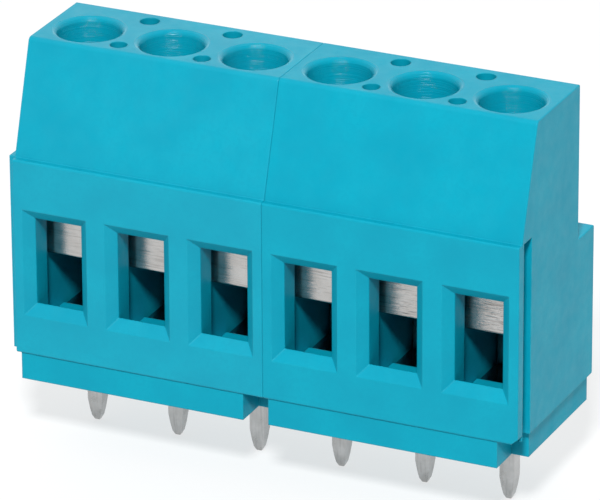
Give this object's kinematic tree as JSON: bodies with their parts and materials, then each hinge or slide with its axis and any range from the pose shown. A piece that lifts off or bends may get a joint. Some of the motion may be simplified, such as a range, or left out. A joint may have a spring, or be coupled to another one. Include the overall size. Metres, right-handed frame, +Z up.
{
  "type": "pcb screw terminal block",
  "caption": "Turquoise screw terminal block for a circuit board: a row of wire windows with metal clamp jaws, screwdriver funnels on top and solder pins below.",
  "frame": {"origin": "on the circuit board's face, in the middle of the row of solder pins", "axes": "+X along the row of poles to the right seen from the wire side, +Y from the wire side to the back, +Z up from the board"},
  "size_m": [0.0309, 0.0106, 0.0238],
  "materials": {
    "housing_plastic": "fine moulded texture, semi-matte turquoise",
    "base_plastic": "fine moulded texture, semi-matte turquoise",
    "clamp_metal": "nickel plated, fine cutting marks across the front",
    "screw_metal": "zinc plated, satin",
    "contact_metal": "tin plated, dull grey with drawn streaks"
  },
  "bodies": {
    "block": {"housing_left": "housing_plastic", "base_left": "base_plastic", "housing_right": "housing_plastic", "base_right": "base_plastic", "contact_1": "contact_metal", "contact_2": "contact_metal", "contact_3": "contact_metal", "contact_4": "contact_metal", "contact_5": "contact_metal", "contact_6": "contact_metal"},
    "clamp_1": {"jaw_1": "clamp_metal"},
    "driver_1": {"screw_1": "screw_metal"},
    "clamp_2": {"jaw_2": "clamp_metal"},
    "driver_2": {"screw_2": "screw_metal"},
    "clamp_3": {"jaw_3": "clamp_metal"},
    "driver_3": {"screw_3": "screw_metal"},
    "clamp_4": {"jaw_4": "clamp_metal"},
    "driver_4": {"screw_4": "screw_metal"},
    "clamp_5": {"jaw_5": "clamp_metal"},
    "driver_5": {"screw_5": "screw_metal"},
    "clamp_6": {"jaw_6": "clamp_metal"},
    "driver_6": {"screw_6": "screw_metal"}
  },
  "joints": [
    {"name": "jaw_press_1", "type": "slide", "parent": "block", "child": "clamp_1", "axis": [0, 0, -1], "range_m": [0, 0.0036]},
    {"name": "screw_turn_1", "type": "hinge", "parent": "clamp_1", "child": "driver_1", "pos_m": [-0.0127, -0.00014, 0.01605], "axis": [0, 0, -1], "range_deg": [0, 2592.1]},
    {"name": "jaw_press_2", "type": "slide", "parent": "block", "child": "clamp_2", "axis": [0, 0, -1], "range_m": [0, 0.0036]},
    {"name": "screw_turn_2", "type": "hinge", "parent": "clamp_2", "child": "driver_2", "pos_m": [-0.00762, -0.00014, 0.01605], "axis": [0, 0, -1], "range_deg": [0, 2592.1]},
    {"name": "jaw_press_3", "type": "slide", "parent": "block", "child": "clamp_3", "axis": [0, 0, -1], "range_m": [0, 0.0036]},
    {"name": "screw_turn_3", "type": "hinge", "parent": "clamp_3", "child": "driver_3", "pos_m": [-0.00254, -0.00014, 0.01605], "axis": [0, 0, -1], "range_deg": [0, 2592.1]},
    {"name": "jaw_press_4", "type": "slide", "parent": "block", "child": "clamp_4", "axis": [0, 0, -1], "range_m": [0, 0.0036]},
    {"name": "screw_turn_4", "type": "hinge", "parent": "clamp_4", "child": "driver_4", "pos_m": [0.00254, -0.00014, 0.01605], "axis": [0, 0, -1], "range_deg": [0, 2592.1]},
    {"name": "jaw_press_5", "type": "slide", "parent": "block", "child": "clamp_5", "axis": [0, 0, -1], "range_m": [0, 0.0036]},
    {"name": "screw_turn_5", "type": "hinge", "parent": "clamp_5", "child": "driver_5", "pos_m": [0.00762, -0.00014, 0.01605], "axis": [0, 0, -1], "range_deg": [0, 2592.1]},
    {"name": "jaw_press_6", "type": "slide", "parent": "block", "child": "clamp_6", "axis": [0, 0, -1], "range_m": [0, 0.0036]},
    {"name": "screw_turn_6", "type": "hinge", "parent": "clamp_6", "child": "driver_6", "pos_m": [0.0127, -0.00014, 0.01605], "axis": [0, 0, -1], "range_deg": [0, 2592.1]}
  ],
  "couplings": [
    {"joint": "screw_turn_1", "follows": "jaw_press_1", "rad_per_m": 12566},
    {"joint": "screw_turn_2", "follows": "jaw_press_2", "rad_per_m": 12566},
    {"joint": "screw_turn_3", "follows": "jaw_press_3", "rad_per_m": 12566},
    {"joint": "screw_turn_4", "follows": "jaw_press_4", "rad_per_m": 12566},
    {"joint": "screw_turn_5", "follows": "jaw_press_5", "rad_per_m": 12566},
    {"joint": "screw_turn_6", "follows": "jaw_press_6", "rad_per_m": 12566}
  ]
}
